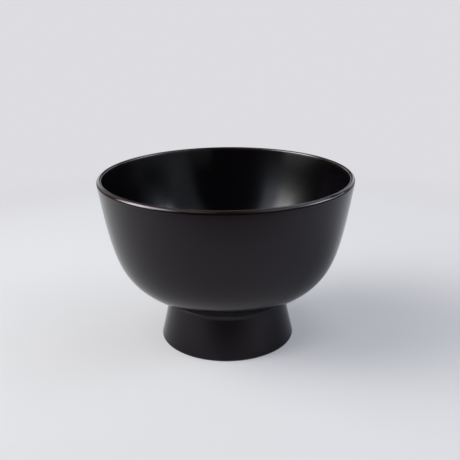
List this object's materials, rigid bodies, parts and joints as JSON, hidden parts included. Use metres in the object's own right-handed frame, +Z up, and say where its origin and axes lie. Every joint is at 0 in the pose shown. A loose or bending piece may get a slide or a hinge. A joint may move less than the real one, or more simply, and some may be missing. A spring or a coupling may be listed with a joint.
{
  "type": "soup bowl",
  "caption": "Black lacquered round soup bowl with a thin rounded lip, a steep wall, a full belly and a tall flared ring foot that is hollow beneath.",
  "frame": {"origin": "centre of the circle that the sole stands on, on the table", "axes": "+Z up along the axis that the bowl is turned about; X and Y alike, because the bowl is round"},
  "size_m": [0.12, 0.12, 0.0814],
  "materials": {
    "turned_wood": "turned, open grain, sealed with raw lacquer",
    "joint_putty": "matt, fine sawdust putty",
    "hemp_cloth": "plain weave soaked in lacquer",
    "inner_lacquer": "black, smooth, half gloss",
    "outer_lacquer": "black, smooth, satin",
    "sole_lacquer": "black, satin, rubbed duller on the sole"
  },
  "bodies": {
    "root": {"bowl_core": "turned_wood", "foot_core": "turned_wood", "neck_putty": "joint_putty", "rim_cloth": "hemp_cloth", "well_cloth": "hemp_cloth", "foot_cloth": "hemp_cloth", "inner_lacquer": "inner_lacquer", "outer_lacquer": "outer_lacquer", "sole_lacquer": "sole_lacquer"}
  },
  "joints": []
}
